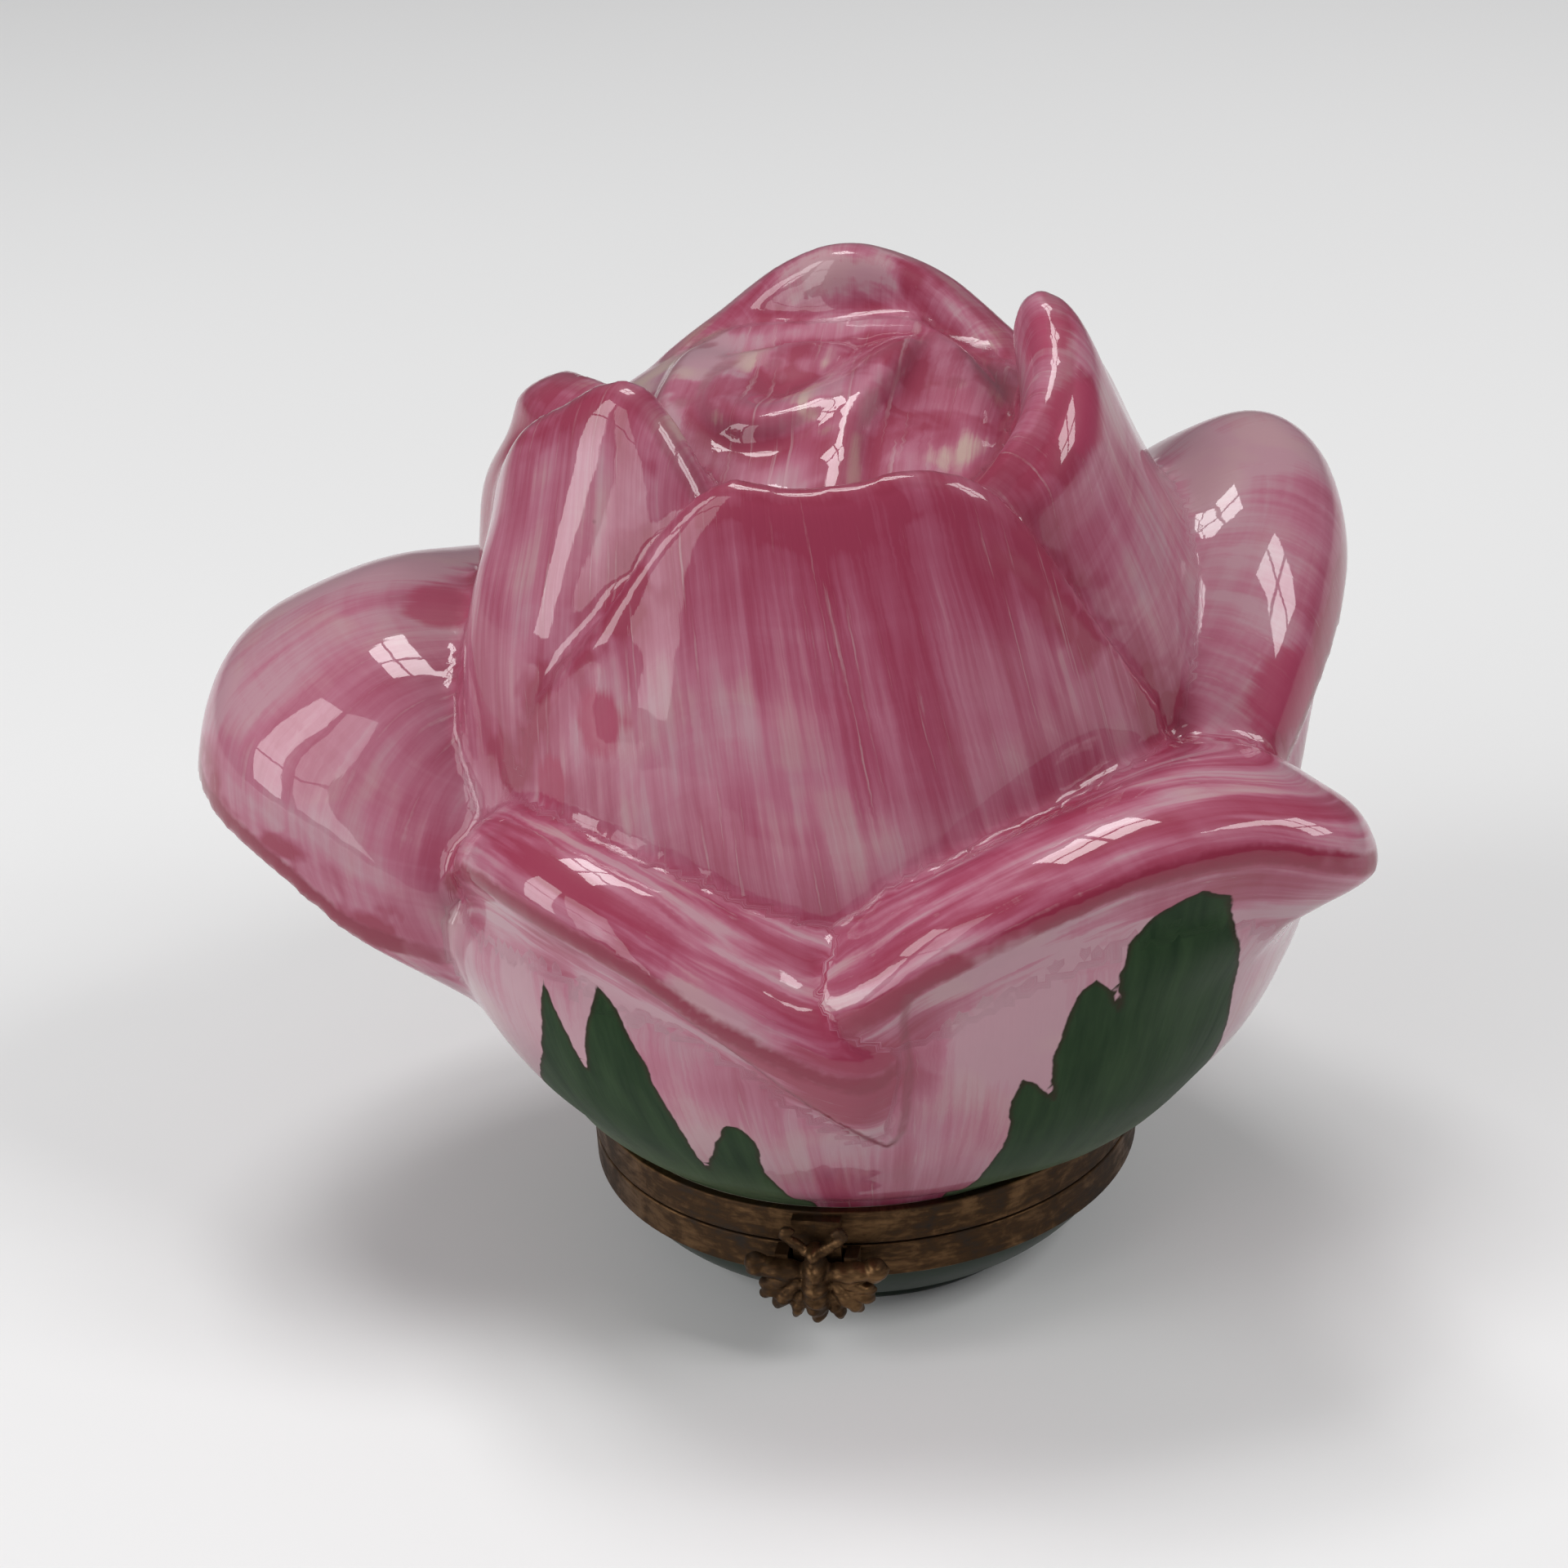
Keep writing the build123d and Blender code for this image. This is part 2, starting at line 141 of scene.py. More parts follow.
# Outer petals, rolled outward: azimuth, radius and height of lip, crest and valley, then depth of hem.
ROLLED = {
    "left": [
        (-142, 23.5, 27.6, 22.5, 30.5, 20.0, 32.0, 0.0),
        (-126, 29.4, 29.2, 26.4, 33.2, 20.5, 35.2, 0.0),
        (-110, 33.2, 29.9, 29.0, 35.4, 20.5, 36.9, 0.0),
        (-96, 35.3, 30.2, 30.6, 36.8, 20.5, 37.9, 0.0),
        (-86, 35.8, 30.0, 30.6, 36.7, 20.5, 37.8, 0.0),
        (-77, 34.6, 29.0, 29.6, 35.5, 20.7, 36.8, 0.0),
        (-69, 31.3, 26.9, 27.6, 33.2, 20.7, 35.2, 0.0),
        (-63, 27.6, 23.6, 25.4, 30.2, 20.6, 32.8, 0.0),
        (-56, 23.6, 22.4, 22.6, 27.0, 20.2, 29.6, 0.0),
    ],
    "front_left": [
        (-56, 22.6, 26.6, 21.6, 28.6, 19.6, 29.4, 0.0),
        (-49, 23.5, 28.6, 22.0, 30.9, 19.8, 31.2, 0.0),
        (-40, 24.2, 29.8, 22.4, 32.1, 20.0, 32.2, 0.0),
        (-28, 24.4, 29.2, 22.5, 31.8, 20.0, 31.8, 0.0),
        (-16, 24.3, 27.6, 22.4, 30.3, 20.0, 30.8, 0.3),
        (-5, 24.0, 25.0, 22.3, 28.2, 20.0, 29.4, 1.2),
        (4, 23.8, 22.9, 22.1, 26.2, 20.0, 28.4, 2.2),
        (11, 23.5, 21.8, 21.8, 25.0, 20.0, 27.8, 3.2),
        (16, 22.4, 22.6, 21.2, 25.0, 19.6, 27.4, 2.4),
    ],
    "front_right": [
        (4, 22.0, 23.8, 20.8, 26.0, 19.4, 27.5, 0.0),
        (11, 23.6, 25.4, 21.8, 28.0, 19.6, 28.6, 0.0),
        (17, 24.6, 27.4, 22.6, 29.9, 20.0, 30.2, 0.0),
        (25, 25.6, 29.4, 23.0, 31.8, 20.2, 31.4, 0.0),
        (34, 26.5, 31.1, 23.6, 33.3, 20.3, 32.4, 0.0),
        (43, 27.5, 32.0, 24.4, 34.3, 20.4, 33.0, 0.0),
        (52, 29.3, 32.2, 25.8, 34.7, 20.4, 33.4, 0.0),
        (58, 31.6, 31.2, 28.0, 34.2, 20.5, 33.6, 0.0),
        (62, 32.3, 30.4, 29.2, 33.4, 20.5, 33.6, 0.0),
        (67, 31.0, 29.8, 28.4, 32.6, 20.6, 33.4, 0.0),
        (75, 27.4, 28.4, 25.8, 30.8, 20.6, 32.0, 0.0),
        (86, 24.4, 26.0, 23.6, 28.0, 20.0, 29.0, 0.0),
    ],
    "right": [
        (68, 23.4, 27.0, 22.4, 30.0, 20.5, 32.5, 0.0),
        (79, 24.6, 31.0, 23.2, 36.0, 19.5, 38.0, 0.0),
        (91, 26.2, 35.2, 23.8, 41.0, 19.0, 41.8, 0.0),
        (104, 27.6, 38.0, 24.7, 43.7, 19.0, 43.2, 0.0),
        (116, 28.0, 38.4, 24.9, 44.3, 19.0, 42.8, 0.0),
        (128, 27.0, 36.0, 23.6, 42.0, 19.0, 41.0, 0.0),
        (140, 24.8, 32.4, 22.6, 38.0, 19.5, 38.4, 0.0),
        (152, 22.8, 28.0, 22.2, 32.0, 20.0, 33.0, 0.0),
    ],
    "back_right": [
        (138, 23.0, 25.0, 22.4, 29.0, 20.0, 31.0, 0.0),
        (150, 27.4, 27.5, 25.0, 32.4, 20.0, 34.0, 0.0),
        (164, 29.8, 29.0, 26.6, 35.0, 20.0, 36.0, 0.0),
        (178, 29.6, 29.4, 26.4, 35.0, 20.0, 36.0, 0.0),
        (192, 27.0, 27.4, 25.0, 32.6, 20.0, 34.0, 0.0),
        (203, 23.0, 25.0, 22.4, 29.0, 20.0, 31.0, 0.0),
    ],
    "back_left": [
        (-176, 23.0, 26.0, 22.4, 30.0, 20.0, 31.5, 0.0),
        (-165, 27.6, 28.4, 25.0, 33.6, 20.0, 34.5, 0.0),
        (-152, 30.2, 29.6, 26.6, 35.6, 20.0, 36.4, 0.0),
        (-140, 29.8, 29.4, 26.4, 35.4, 20.0, 36.4, 0.0),
        (-128, 26.6, 27.4, 24.6, 32.4, 20.0, 34.0, 0.0),
        (-118, 23.0, 25.0, 22.4, 29.0, 20.0, 31.0, 0.0),
    ],
}

# Inner petals, standing: azimuth, then radius and height of root, middle and lip, then thickness.
STANDING = {
    "front": [
        (-50, 21.0, 27.0, 20.2, 31.0, 19.0, 34.4, 2.0),
        (-42, 21.0, 27.0, 19.9, 32.0, 18.3, 38.2, 2.0),
        (-31, 20.8, 27.0, 19.5, 34.0, 17.0, 42.8, 2.0),
        (-21, 20.4, 27.0, 18.8, 36.0, 15.4, 47.1, 2.0),
        (-10, 20.0, 26.0, 18.2, 36.0, 14.5, 49.3, 2.0),
        (2, 20.0, 25.0, 18.0, 36.0, 14.3, 48.9, 2.0),
        (14, 20.0, 25.0, 18.0, 36.0, 14.4, 49.0, 2.0),
        (26, 20.0, 26.0, 18.2, 36.0, 14.8, 49.5, 2.2),
        (37, 20.2, 27.0, 18.6, 36.0, 15.5, 48.8, 2.2),
        (46, 20.4, 28.0, 19.2, 35.5, 16.6, 46.2, 2.2),
        (56, 20.6, 28.0, 19.9, 34.0, 18.2, 40.6, 2.0),
        (66, 20.8, 28.0, 20.4, 32.0, 19.2, 35.4, 2.0),
    ],
    "left_near": [
        (-14, 16.4, 30.0, 15.4, 38.0, 12.6, 46.4, 2.6),
        (-22, 17.2, 30.0, 15.8, 38.0, 12.4, 49.0, 2.8),
        (-30, 18.0, 30.0, 16.6, 39.0, 12.4, 51.2, 3.0),
        (-38, 18.8, 30.0, 17.6, 39.0, 12.6, 52.6, 3.2),
        (-46, 20.0, 30.0, 18.7, 39.0, 13.2, 52.5, 3.2),
        (-54, 20.4, 30.0, 19.2, 39.0, 14.0, 51.4, 3.0),
        (-62, 20.9, 30.0, 19.9, 39.0, 15.2, 50.1, 2.8),
        (-69, 20.8, 30.0, 19.6, 38.5, 15.6, 48.8, 2.8),
        (-76, 20.8, 30.0, 19.4, 38.0, 16.0, 47.4, 2.8),
        (-83, 20.7, 30.0, 19.4, 37.0, 16.6, 45.6, 2.8),
        (-90, 20.5, 29.0, 19.7, 35.5, 17.7, 42.4, 2.6),
        (-98, 20.6, 28.0, 20.3, 34.0, 19.7, 38.5, 2.2),
    ],
    "left_far": [
        (-54, 16.0, 34.0, 14.0, 41.0, 11.4, 49.4, 2.8),
        (-67, 17.6, 34.0, 16.0, 41.0, 11.8, 50.7, 3.8),
        (-79, 19.3, 32.0, 17.6, 43.2, 13.1, 50.8, 4.8),
        (-90, 20.2, 31.0, 19.0, 42.7, 14.3, 50.3, 4.8),
        (-100, 20.6, 30.0, 19.9, 41.7, 15.3, 48.8, 4.4),
        (-109, 20.7, 30.0, 20.2, 39.6, 16.8, 46.2, 3.8),
        (-119, 21.0, 29.0, 20.9, 36.0, 19.7, 41.4, 3.0),
        (-130, 20.6, 28.0, 20.4, 32.0, 20.0, 37.0, 2.4),
    ],
    "right": [
        (36, 16.6, 32.0, 15.4, 39.0, 13.4, 45.6, 3.6),
        (46, 17.4, 32.0, 16.0, 39.0, 13.9, 47.4, 4.0),
        (56, 18.4, 31.0, 17.2, 39.0, 14.4, 49.4, 4.4),
        (66, 19.5, 30.0, 18.4, 39.0, 14.2, 51.2, 4.4),
        (76, 20.5, 30.0, 19.3, 39.0, 13.3, 53.0, 4.2),
        (85, 20.8, 30.0, 19.6, 39.0, 12.3, 54.4, 4.0),
        (94, 20.8, 30.0, 19.6, 39.0, 11.9, 53.8, 3.4),
        (104, 20.6, 30.0, 19.4, 39.0, 13.2, 50.8, 3.4),
        (116, 20.4, 30.0, 19.2, 38.0, 15.2, 47.4, 3.0),
        (128, 20.2, 29.0, 19.2, 36.0, 17.0, 43.0, 2.6),
        (138, 20.0, 28.0, 19.2, 33.0, 18.2, 38.0, 2.2),
    ],
    "back": [
        (108, 17.6, 34.0, 15.6, 41.0, 11.2, 48.6, 3.6),
        (122, 18.2, 33.0, 16.2, 41.0, 10.6, 50.2, 4.4),
        (136, 18.8, 32.0, 16.4, 41.0, 10.0, 51.8, 5.0),
        (150, 19.4, 32.0, 16.6, 42.0, 9.2, 53.5, 5.4),
        (164, 19.6, 32.0, 16.6, 42.0, 8.4, 54.5, 5.6),
        (178, 19.8, 32.0, 16.6, 42.0, 8.0, 54.8, 5.6),
        (192, 19.8, 32.0, 16.6, 42.0, 8.2, 54.4, 5.6),
        (206, 19.6, 32.0, 16.6, 41.0, 9.0, 53.3, 5.4),
        (220, 19.4, 32.0, 16.4, 41.0, 9.8, 51.5, 5.0),
        (234, 19.0, 32.0, 16.2, 41.0, 10.6, 49.9, 4.4),
        (248, 18.6, 32.0, 16.0, 40.0, 11.4, 48.2, 3.6),
    ],
}

# The bud's folds: azimuth and radius of each lip on the dome, with its rise. The petal lies left of its lip.
FOLDS = {
    "heart": [(-100, 4.6, 0.4), (-74, 5.6, 0.9), (-45, 7.0, 1.2), (-18, 7.3, 1.4),
              (10, 5.9, 1.5), (50, 4.1, 1.3), (95, 3.7, 0.7)],
    "heart_back": [(150, 3.4, 0.3), (178, 2.6, 0.7), (-150, 2.4, 0.9),
                   (-122, 3.2, 0.9), (-106, 5.4, 0.5)],
    "cone": [(17, 12.0, 0.3), (18, 9.6, 0.8), (24, 7.0, 1.3), (42, 5.4, 1.7),
             (72, 4.5, 2.0), (105, 4.9, 1.6), (128, 6.0, 0.5)],
    "ring": [(76, 10.2, 0.3), (92, 8.3, 0.8), (116, 7.1, 1.1), (144, 6.7, 1.2),
             (180, 7.0, 1.2), (-158, 7.8, 1.1), (-134, 8.2, 0.8), (-118, 8.9, 0.3)],
    "left": [(-128, 9.4, 0.3), (-108, 8.2, 0.8), (-86, 7.8, 1.1),
             (-64, 8.6, 1.1), (-46, 10.0, 0.8), (-34, 11.6, 0.3)],
}


def body_outline(azimuth):
    """The flared body's outer face at an azimuth."""
    keys = np.array(list(BODY.values()), float).reshape(len(BODY), -1)
    degrees = (azimuth + 180) % 360 - 180
    return np.array([np.interp(degrees, list(BODY), column) for column in keys.T]).reshape(-1, 2)


def body_section(azimuth):
    """The closed section of the flared body."""
    skin = curve(body_outline(azimuth), 5)
    return np.vstack([[(8.0, 7.7), (14.8, 7.7)], skin, [(8.0, 29.0)]])


def rolled_section(row):
    """The closed section of a rolled petal: neck, hem, lip, crest, valley, then into the core."""
    lip, crest, valley, hem = row[1:3], row[3:5], row[5:7], row[7]
    outline = body_outline(row[0])
    under = lip + (-0.6 - 0.35 * hem, -1.2 - 0.8 * hem)
    hold = under[1] - 5.0
    wall = np.array([np.interp(hold, outline[:7, 1], outline[:7, 0]), hold])
    neck = 0.5 * wall + 0.5 * under - (0.3 + 0.6 * min(hem, 1.0), 0)
    bulge = 0.16 * np.linalg.norm(crest - lip)
    shoulder = 0.5 * (lip + crest) + (0.75 * bulge, 0.66 * bulge)
    dip = 0.5 * (crest + valley) + (0, 0.12 * (crest[0] - valley[0]))
    sunk = valley + (-3, -1.5)
    keys = [wall - (0.9, 0), neck, under, lip, shoulder, crest, dip, valley, sunk]
    return np.vstack([curve(keys, 6), [(8.0, valley[1] - 4), (8.0, hold - 1)]])


def standing_section(row):
    """The closed section of a standing petal: outer face, lip rolled a little outward, inner face."""
    root, middle, lip, thick = row[1:3], row[3:5], row[5:7], row[7]
    up = (lip - middle) / np.linalg.norm(lip - middle)
    out = np.array([up[1], -up[0]])
    keys = [
        root,
        middle,
        0.45 * middle + 0.55 * lip + out * 0.12 * thick,
        lip + out * 0.18 * thick - up * 0.35 * thick,
        lip + up * 0.15 * thick - out * 0.25 * thick,
        lip - out * 0.8 * thick - up * 0.45 * thick,
        0.5 * (lip + middle) - out * 1.15 * thick,
        middle - out * 1.6 * thick,
    ]
    skin = curve(keys, 5)
    return np.vstack([skin, [(max(skin[-1][0] - 4, 2.0), root[1] - 1)]])


def dome(x, y):
    """The height of the bud's dome, tilted toward the front."""
    reach = np.hypot(x, y)
    return np.interp(reach, [0, 5, 9, 12, 15], [50.3, 50.1, 49.3, 47.9, 45.2]) + TILT * y


def fold(name, stations):
    """One fold of the bud: a lip that is steep on one side and slopes back on the other."""
    rows = curve([(*around(az, np.array([[r, 0.0]]))[0, :2], rise) for az, r, rise in stations], 8)
    along = np.gradient(rows[:, :2], axis=0)
    along /= np.linalg.norm(along, axis=1)[:, None]
    across = np.stack([-along[:, 1], along[:, 0]], -1)
    rings = []
    for (x, y, rise), side in zip(rows, across):
        profile = [(-0.7, -2.0), (-0.6, -0.2), (-0.35, 0.75 * rise), (0.2, rise),
                   (1.3, 0.85 * rise), (2.8, 0.4 * rise), (4.2, -0.2), (3.5, -2.0)]
        spots = [(x + side[0] * w, y + side[1] * w, h) for w, h in profile]
        rings.append([(sx, sy, dome(sx, sy) + h) for sx, sy, h in spots])
    return lofted(name, np.array(rings))


def petal(name, stations, section):
    """One petal as a closed solid, with its sections interpolated between the stations."""
    rows = curve(stations, 6)
    return swept(name, [(row[0], section(row)) for row in rows])


TILT = 0.11  # the bud leans toward the front
CORE = [(0, 12.0), (13.0, 12.0), (17.0, 20.0), (19.2, 24.0), (19.4, 30.0), (18.2, 36.0),
        (16.8, 41.0), (15.0, 45.2), (12.0, 47.9), (9.0, 49.3), (5.0, 50.1), (0, 50.3)]
HOLLOW = [(0, 6.5), (12.7, 6.5), (12.7, 9.2), (15.2, 12.6), (18.0, 16.6), (19.2, 21.5),
          (18.4, 27.5), (16.2, 34.0), (12.4, 39.6), (6.5, 43.2), (0, 44.2)]


def joined(name, objects):
    """One object from several, by joining their meshes."""
    whole = bmesh.new()
    for obj in objects:
        whole.from_mesh(obj.data)
        bpy.data.objects.remove(obj, do_unlink=True)
    mesh = bpy.data.meshes.new(name)
    whole.to_mesh(mesh)
    whole.free()
    obj = bpy.data.objects.new(name, mesh)
    bpy.context.collection.objects.link(obj)
    return obj


def apply_modifiers(obj):
    """Bakes an object's modifiers into its mesh."""
    graph = bpy.context.evaluated_depsgraph_get()
    graph.update()
    baked = bpy.data.meshes.new_from_object(obj.evaluated_get(graph))
    obj.modifiers.clear()
    obj.data = baked


def keep_largest(mesh):
    """Removes crumbs that the remesh or the cut left behind."""
    whole = bmesh.new()
    whole.from_mesh(mesh)
    fresh, pieces = set(whole.verts), []
    while fresh:
        piece, front = [], [fresh.pop()]
        while front:
            v = front.pop()
            piece.append(v)
            linked = {e.other_vert(v) for e in v.link_edges} & fresh
            fresh -= linked
            front.extend(linked)
        pieces.append(piece)
    pieces.sort(key=len)
    bmesh.ops.delete(whole, geom=[v for piece in pieces[:-1] for v in piece], context="VERTS")
    whole.to_mesh(mesh)
    whole.free()


def sculpt_rose():
    """The whole bloom: all petals fused, softened like glaze, and hollowed."""
    parts = [petal(k, s, rolled_section) for k, s in ROLLED.items()]
    parts += [petal(k, s, standing_section) for k, s in STANDING.items()]
    core = turned("core", [CORE[0]] + [tuple(p) for p in curve(CORE[1:], 4)])
    for v in core.data.vertices:
        v.co.z += TILT * v.co.y * min(max(v.co.z / MM - 38, 0) / 8, 1)
    parts.append(core)
    parts += [fold(k, s) for k, s in FOLDS.items()]
    parts.append(swept("body", [(az, body_section(az)) for az in range(0, 360, 5)], closed=True))
    rose = joined("rose_lid", parts)
    bm = bmesh.new()
    bm.from_mesh(rose.data)
    bmesh.ops.recalc_face_normals(bm, faces=bm.faces)
    bm.to_mesh(rose.data)
    bm.free()
    remesh = rose.modifiers.new("fuse", "REMESH")
    remesh.mode = "VOXEL"
    remesh.voxel_size = 0.42 * MM
    remesh.use_smooth_shade = True
    soften = rose.modifiers.new("soften", "SMOOTH")
    soften.factor = 0.5
    soften.iterations = 6
    apply_modifiers(rose)
    handwork(rose.data)
    hollow = turned("hollow", HOLLOW[:3] + [tuple(p) for p in curve(HOLLOW[3:-1], 4)] + HOLLOW[-1:])
    cut = rose.modifiers.new("hollow", "BOOLEAN")
    cut.operation = "DIFFERENCE"
    cut.solver = "MANIFOLD"
    cut.object = hollow
    apply_modifiers(rose)
    bpy.data.objects.remove(hollow, do_unlink=True)
    keep_largest(rose.data)
    rose.data.polygons.foreach_set("use_smooth", [True] * len(rose.data.polygons))
    return rose


# The folded tip of the front petals, lying flat on the body: azimuth and height around it.
FLAP = [(-30, 29.5), (-20, 28.4), (-12, 26.3), (-5, 23.8), (0, 21.8), (4.6, 19.9), (8.6, 18.4),
        (11.5, 17.0), (13.9, 16.3), (15.4, 17.4), (16.0, 19.2), (16.4, 22.3), (15.8, 25.0), (17, 29.5)]
FLAP_REACH = 17.5  # the folded tip lies outside this radius


def inside_distance(outline, flat):
    """Signed distance in mm of flat points (arc, height) to an outline; inside is positive."""
    ring = np.array(outline) * (ARC, 1.0)
    best = np.full(len(flat), 1e9)
    odd = np.zeros(len(flat), bool)
    for a, b in zip(ring, np.roll(ring, -1, axis=0)):
        t = np.clip((flat - a) @ (b - a) / ((b - a) @ (b - a)), 0, 1)
        best = np.minimum(best, np.linalg.norm(flat - a - t[:, None] * (b - a), axis=1))
        crosses = (a[1] > flat[:, 1]) != (b[1] > flat[:, 1])
        with np.errstate(divide="ignore", invalid="ignore"):
            x = a[0] + (flat[:, 1] - a[1]) / (b[1] - a[1]) * (b[0] - a[0])
        odd ^= crosses & (flat[:, 0] < x)
    return np.where(odd, best, -best)


def vertex_field(mesh, name):
    """A vector per vertex as an array."""
    values = np.empty(len(mesh.vertices) * 3)
    mesh.vertices.foreach_get(name, values)
    return values.reshape(-1, 3)


def handwork(mesh):
    """Raises the folded tip a little and adds the slight unevenness of hand modelling."""
    co, normal = vertex_field(mesh, "co") / MM, vertex_field(mesh, "normal")
    radius = np.hypot(co[:, 0], co[:, 1])
    azimuth = np.degrees(np.arctan2(co[:, 0], -co[:, 1]))
    flap = inside_distance(FLAP, np.stack([azimuth * ARC, co[:, 2]], -1))
    outside = (radius > FLAP_REACH) & (co[:, 2] < 30)
    lift = 0.34 * np.clip(flap / 0.45 + 0.5, 0, 1) * np.clip((28.5 - co[:, 2]) / 3, 0, 1) * outside
    for size, height, shift in [(10.4, 0.05, 0.4), (4.1, 0.008, 1.9)]:
        w = co * (2 * math.pi / size)
        swell = np.sin(w[:, 0] + 1.3 * np.sin(0.7 * w[:, 2] + shift)) * np.sin(w[:, 1] + shift)
        lift += height * swell * np.sin(0.8 * w[:, 2] - shift)
    lift *= co[:, 2] > 10
    mesh.vertices.foreach_set("co", ((co + normal * lift[:, None]) * MM).ravel())
    mesh.update()


# ---- where the brush went: values carried by the rose's vertices for its paint -------------------
# Sepals painted on the body: azimuth and height around each outline.
SEPAL_LEFT = [(-78, 8.0), (-60, 11.5), (-46, 15.5), (-36, 19.8), (-33, 22.4), (-31, 25.4),
              (-29.4, 23.4), (-28.4, 21.6), (-27.4, 20.2), (-25.2, 23.2), (-22.8, 25.8), (-20.4, 24.8),
              (-17.6, 21.6), (-15.8, 16.6), (-16.2, 12.8), (-11.6, 15.8), (-8.8, 17.7), (-6.6, 17.7),
              (-4.8, 16.6), (-5.8, 13.6), (-3.0, 10.6), (2, 8.0)]
SEPAL_RIGHT = [(24, 8.0), (28.6, 12.0), (29.8, 16.0), (29.2, 19.0), (30.2, 20.6), (31.8, 20.3),
               (34.6, 18.8), (33.6, 21.6), (34.4, 23.4), (35.6, 25.6), (37.6, 26.4), (39.4, 25.6),
               (41.2, 24.0), (40.2, 26.2), (41.2, 28.0), (44.4, 29.6), (48.0, 30.4), (51.5, 29.6),
               (54.0, 26.9), (57.8, 23.4), (61, 19.4), (66, 14.6), (80, 8.0)]
SEPALS = [SEPAL_LEFT, SEPAL_RIGHT] + [[(az + turn, z) for az, z in SEPAL_RIGHT] for turn in (66, 134)]
SEPALS.append([(az - 62, z + 1.0) for az, z in SEPAL_LEFT])
# How each petal was painted: share of lengthwise strokes, how heavily loaded the brush, how dark the lip.
HABIT = {
    "left": (0.1, -0.40, 0.9), "front_left": (0.85, 0.12, 0.2), "front_right": (0.75, 0.08, 0.2),
    "right": (0.15, -0.16, 0.9), "front": (0.05, 0.10, 0.9), "left_near": (0.05, -0.10, 0.5),
    "left_far": (0.2, 0.14, 0.6), "back": (0.5, -0.12, 0.6),
}
PLAIN = (0.15, 0.0, 0.5)
FAR = 5.0  # the distance in mm that stands for "nowhere near"
# Dabs of deeper pink, mostly where one petal meets the next: azimuth, radius, height and size in mm.
DABS = [(-84, 21.2, 37.8, 1.9), (-29, 18.6, 37.9, 1.7), (-38, 19.5, 34.0, 1.3),
        (66, 15.3, 50.2, 1.8), (80, 24.5, 34.6, 2.3), (76, 12.4, 53.1, 1.8),
        (150, 17.5, 36.0, 1.8), (-160, 18.5, 33.0, 1.6)]


ROLLED_LIP, STANDING_LIP = 18, 15  # where the lip falls in the outline of each kind of section
PETAL_REACH, BODY_REACH = 22.0, 20.0  # radii that turn an azimuth into a brush coordinate
BRUSH_STEP = 0.4
BODY_NUMBER, BUD_NUMBER = 20, 21  # the petals are numbered from 0, the rolled ones first


def brush_samples():
    """Points over all petals: petal number, brush coordinates in mm, body share, habit."""
    points, values = [], []
    shapes = [(k, s, rolled_section, ROLLED_LIP) for k, s in ROLLED.items()]
    shapes += [(k, s, standing_section, STANDING_LIP) for k, s in STANDING.items()]
    for number, (name, stations, section, lip_index) in enumerate(shapes):
        for row in curve(stations, 10):
            outline = section(row)
            step = np.linalg.norm(np.diff(outline, axis=0), axis=1)
            length = np.concatenate([[0], np.cumsum(step)])
            even = np.arange(0, length[-1], BRUSH_STEP)
            outline = np.stack([np.interp(even, length, column) for column in outline.T], -1)
            v = even - length[lip_index]
            u = math.radians(row[0]) * PETAL_REACH
            points.append(around(row[0], outline))
            under = (v < -0.9) & (section is rolled_section)
            values += [(number, u + 0.17 * x, x, b, *HABIT.get(name, PLAIN)) for x, b in zip(v, under)]
    for az in np.arange(-180, 180, 1.5):
        outline = curve(body_outline(az), 5)
        points.append(around(az, outline))
        u = math.radians(az) * BODY_REACH
        values += [(BODY_NUMBER, u, -z, 1, 0.0, 0.0, 0.3) for z in outline[:, 1]]
        ring = np.stack([np.arange(0.4, 15, 0.5), np.zeros(30)], -1)
        top = around(az, ring)
        top[:, 2] = dome(top[:, 0], top[:, 1])
        points.append(top)
        values += [(BUD_NUMBER, x, y, 0, 0.0, -0.05, 0.6) for x, y in top[:, :2]]
    return np.vstack(points), np.array(values)


def lip_samples():
    """Points along every petal's lip and along the bud's folds."""
    points = []
    for stations in ROLLED.values():
        points += [around(row[0], np.array([row[1:3]]))[0] for row in curve(stations, 16)]
    for stations in STANDING.values():
        points += [around(row[0], np.array([row[5:7]]))[0] for row in curve(stations, 16)]
    for stations in FOLDS.values():
        for az, r, rise in curve(stations, 12):
            x, y, _ = around(az, np.array([[r, 0.0]]))[0]
            points.append((x, y, dome(x, y) + 0.5 * rise))
    return np.array(points)


def tree_of(points):
    """A search tree over points."""
    tree = kdtree.KDTree(len(points))
    for i, p in enumerate(points):
        tree.insert(p, i)
    tree.balance()
    return tree


def neighbour_mean(values, edges, count):
    """The mean of each vertex's neighbours."""
    total = np.zeros_like(values)
    for k in range(values.shape[1]):
        total[:, k] = np.bincount(edges[:, 0], values[edges[:, 1], k], len(values))
        total[:, k] += np.bincount(edges[:, 1], values[edges[:, 0], k], len(values))
    return total / count[:, None]


def store(mesh, name, kind, values):
    """Writes a vertex attribute."""
    field = "vector" if kind == "FLOAT_VECTOR" else "value"
    mesh.attributes.new(name, kind, "POINT").data.foreach_set(field, np.ravel(values))


